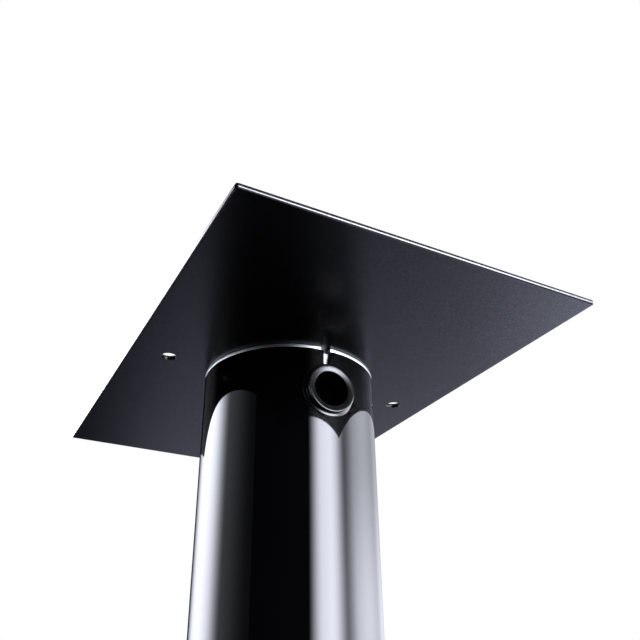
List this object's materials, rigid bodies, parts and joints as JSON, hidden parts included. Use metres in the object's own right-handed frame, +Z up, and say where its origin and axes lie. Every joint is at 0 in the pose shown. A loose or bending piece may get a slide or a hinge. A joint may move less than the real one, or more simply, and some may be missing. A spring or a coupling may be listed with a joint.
{
  "type": "pedestal stand",
  "caption": "Pedestal stand: round gloss column between a thin top plate and a base plate, with cable outlets and levelling feet.",
  "frame": {"origin": "on the floor, under the centre of the stand", "axes": "+Z up, +Y away from the cable outlets (they face -Y), +X across the short side of the plates"},
  "size_m": [0.25, 0.34, 0.6],
  "materials": {
    "satin_black": "satin black powder coat with a fine grain",
    "gloss_black": "high gloss black lacquer, polished flat",
    "bright_aluminium": "fine turned, clear anodised",
    "black_rubber": "smooth satin rubber",
    "zinc_steel": "bright zinc plate over cut thread",
    "black_screw": "black oxide, lightly worn at the socket",
    "black_steel": "turned steel, satin black",
    "felt": "dense pressed felt"
  },
  "bodies": {
    "root": {"top_plate": "satin_black", "base_plate": "satin_black", "column_tube": "gloss_black", "top_plug": "bright_aluminium", "bottom_plug": "bright_aluminium", "upper_cable_grommet": "black_rubber", "lower_cable_grommet": "black_rubber", "tie_rod": "zinc_steel", "tie_rod_washer": "zinc_steel", "tie_rod_nut": "zinc_steel", "top_plate_screw_1": "black_screw", "base_plate_screw_1": "black_screw", "foot_lock_nut_1": "black_steel", "top_plate_screw_2": "black_screw", "base_plate_screw_2": "black_screw", "foot_lock_nut_2": "black_steel", "top_plate_screw_3": "black_screw", "base_plate_screw_3": "black_screw", "foot_lock_nut_3": "black_steel", "top_plate_screw_4": "black_screw", "base_plate_screw_4": "black_screw", "foot_lock_nut_4": "black_steel"},
    "foot_pad_1": {"foot_pad_1": "black_steel", "foot_sole_1": "felt"},
    "foot_stud_1": {"foot_stud_1": "zinc_steel"},
    "foot_pad_2": {"foot_pad_2": "black_steel", "foot_sole_2": "felt"},
    "foot_stud_2": {"foot_stud_2": "zinc_steel"},
    "foot_pad_3": {"foot_pad_3": "black_steel", "foot_sole_3": "felt"},
    "foot_stud_3": {"foot_stud_3": "zinc_steel"},
    "foot_pad_4": {"foot_pad_4": "black_steel", "foot_sole_4": "felt"},
    "foot_stud_4": {"foot_stud_4": "zinc_steel"}
  },
  "joints": [
    {"name": "foot_1_height", "type": "slide", "parent": "root", "child": "foot_pad_1", "axis": [0, 0, 1], "range_m": [-0.008, 0.004]},
    {"name": "foot_1_screw", "type": "hinge", "parent": "foot_pad_1", "child": "foot_stud_1", "pos_m": [0.103, 0.148, 0.016], "axis": [0, 0, 1], "range_deg": [-2305, 1153]},
    {"name": "foot_2_height", "type": "slide", "parent": "root", "child": "foot_pad_2", "axis": [0, 0, 1], "range_m": [-0.008, 0.004]},
    {"name": "foot_2_screw", "type": "hinge", "parent": "foot_pad_2", "child": "foot_stud_2", "pos_m": [-0.103, 0.148, 0.016], "axis": [0, 0, 1], "range_deg": [-2305, 1153]},
    {"name": "foot_3_height", "type": "slide", "parent": "root", "child": "foot_pad_3", "axis": [0, 0, 1], "range_m": [-0.008, 0.004]},
    {"name": "foot_3_screw", "type": "hinge", "parent": "foot_pad_3", "child": "foot_stud_3", "pos_m": [-0.103, -0.148, 0.016], "axis": [0, 0, 1], "range_deg": [-2305, 1153]},
    {"name": "foot_4_height", "type": "slide", "parent": "root", "child": "foot_pad_4", "axis": [0, 0, 1], "range_m": [-0.008, 0.004]},
    {"name": "foot_4_screw", "type": "hinge", "parent": "foot_pad_4", "child": "foot_stud_4", "pos_m": [0.103, -0.148, 0.016], "axis": [0, 0, 1], "range_deg": [-2305, 1153]}
  ],
  "couplings": [
    {"joint": "foot_1_screw", "follows": "foot_1_height", "rad_per_m": 5026.5},
    {"joint": "foot_2_screw", "follows": "foot_2_height", "rad_per_m": 5026.5},
    {"joint": "foot_3_screw", "follows": "foot_3_height", "rad_per_m": 5026.5},
    {"joint": "foot_4_screw", "follows": "foot_4_height", "rad_per_m": 5026.5}
  ]
}
